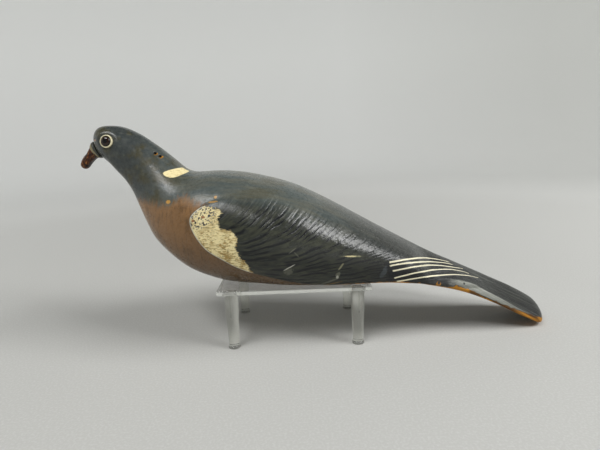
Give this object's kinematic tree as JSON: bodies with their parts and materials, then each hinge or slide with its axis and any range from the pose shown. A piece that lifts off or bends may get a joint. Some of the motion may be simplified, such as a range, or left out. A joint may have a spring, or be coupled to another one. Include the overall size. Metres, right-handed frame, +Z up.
{
  "type": "carved wood pigeon decoy on display riser",
  "caption": "Life-size carved and painted wooden wood-pigeon decoy, head low and tail sloping down, resting on a clear acrylic display riser.",
  "frame": {"origin": "centre of the bounding box's base, on the floor under the middle of the decoy's length, level with the riser's feet", "axes": "+X from the bill towards the tail, +Y towards the decoy's own right side, +Z up"},
  "size_m": [0.3862, 0.118, 0.1797],
  "materials": {
    "carving": "slate-grey oil paint with a satin sheen, aged, worn to bare wood at edges and chips",
    "wing": "charcoal oil paint with curved feather strokes and cream wing patch, satin, aged",
    "bill": "worn red-brown stain, satin",
    "bill_collar": "olive-dark paint, satin",
    "eye_glass": "polished dark brown glass",
    "eye_rim": "cream paint, chipped at one place",
    "acrylic": "clear polished acrylic"
  },
  "bodies": {
    "root": {"head": "carving", "neck": "carving", "trunk": "carving", "tail": "carving", "wing_left": "wing", "wing_right": "wing", "bill": "bill", "bill_collar": "bill_collar", "eye_left": "eye_glass", "eye_right": "eye_glass", "eye_rim_left": "eye_rim", "eye_rim_right": "eye_rim", "stand_plate": "acrylic", "stand_leg_head_end_left": "acrylic", "stand_leg_head_end_right": "acrylic", "stand_leg_tail_end_left": "acrylic", "stand_leg_tail_end_right": "acrylic"}
  },
  "joints": []
}
